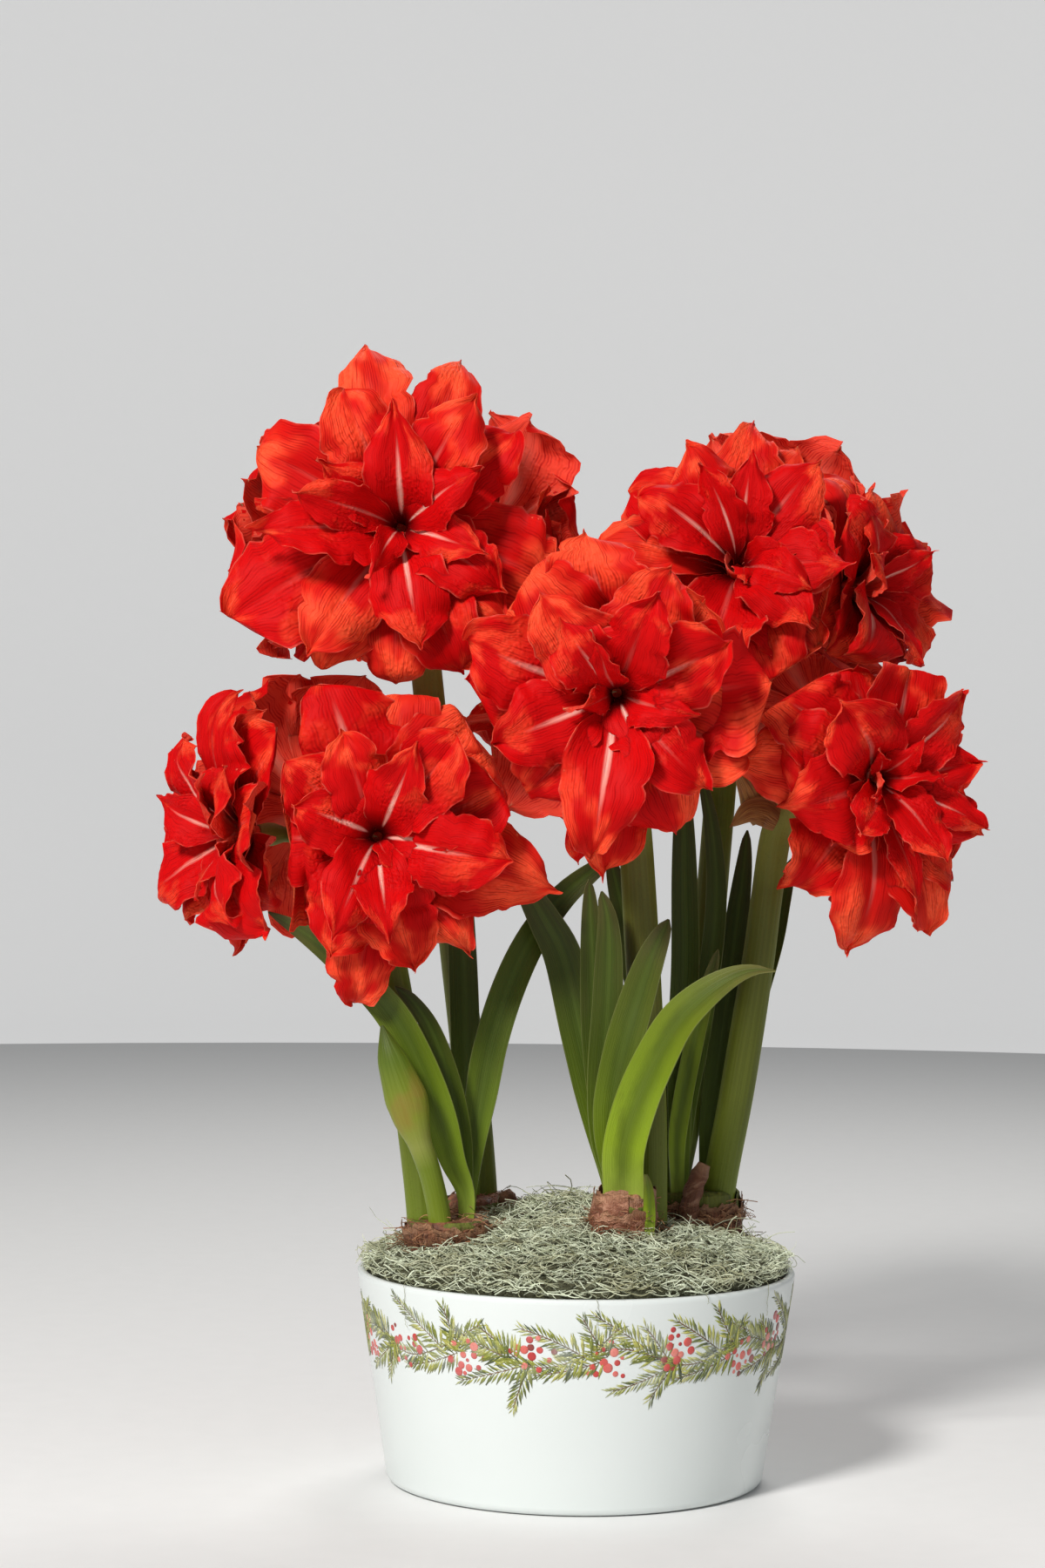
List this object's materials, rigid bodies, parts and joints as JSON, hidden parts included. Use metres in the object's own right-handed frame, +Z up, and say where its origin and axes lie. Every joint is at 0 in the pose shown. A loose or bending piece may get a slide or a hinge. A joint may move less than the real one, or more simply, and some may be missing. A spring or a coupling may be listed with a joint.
{
  "type": "potted amaryllis",
  "caption": "Double-flowered red amaryllis bulbs in bloom in a low round white ceramic pot with soil and moss.",
  "frame": {"origin": "centre of the pot's flat underside", "axes": "+Z up along the plant, +X to the right and -Y to the front as the picture shows it"},
  "size_m": [0.4453, 0.2749, 0.5957],
  "materials": {
    "pot_glaze": "white gloss glaze with a painted band of fir sprigs and berries",
    "soil": "dark crumbly potting soil",
    "moss": "pale grey-green curly dried moss",
    "bulb_tunic": "dry papery brown bulb skin",
    "scape": "smooth waxy green stem",
    "leaf": "satin green leaf with fine lengthwise veins",
    "petal": "velvety scarlet petal with pale streak and fine veins",
    "spathe": "dried papery brown bract"
  },
  "bodies": {
    "root": {"pot": "pot_glaze", "soil": "soil", "moss": "moss", "bulb_left": "bulb_tunic", "bulb_front": "bulb_tunic", "bulb_right": "bulb_tunic", "bulb_back": "bulb_tunic", "scape_upper_left": "scape", "scape_upper_right": "scape", "scape_centre": "scape", "scape_lower_left": "scape", "scape_lower_right": "scape", "bud": "scape", "leaf_left_arching": "leaf", "leaf_left_short": "leaf", "leaf_left_crossing": "leaf", "leaf_back_upright": "leaf", "leaf_front_far_left": "leaf", "leaf_front_slim": "leaf", "leaf_front_upright": "leaf", "leaf_front_middle": "leaf", "leaf_front_arching": "leaf", "leaf_right_far_left": "leaf", "leaf_right_tall": "leaf", "leaf_right_slim": "leaf", "leaf_right_low": "leaf", "leaf_right_behind": "leaf", "leaf_right_outer": "leaf", "bloom_upper_left_front": "petal", "bloom_upper_left_side": "petal", "bloom_upper_left_back": "petal", "bloom_upper_right_front": "petal", "bloom_upper_right_side": "petal", "bloom_upper_right_back": "petal", "bloom_centre_front": "petal", "bloom_centre_back": "petal", "bloom_lower_left_front": "petal", "bloom_lower_left_side": "petal", "bloom_lower_left_back": "petal", "bloom_lower_right_front": "petal", "bloom_lower_right_top": "petal", "bloom_lower_right_side": "petal", "spathe_lower_right_upper": "spathe", "spathe_lower_right_lower": "spathe", "spathe_upper_right": "spathe"}
  },
  "joints": []
}
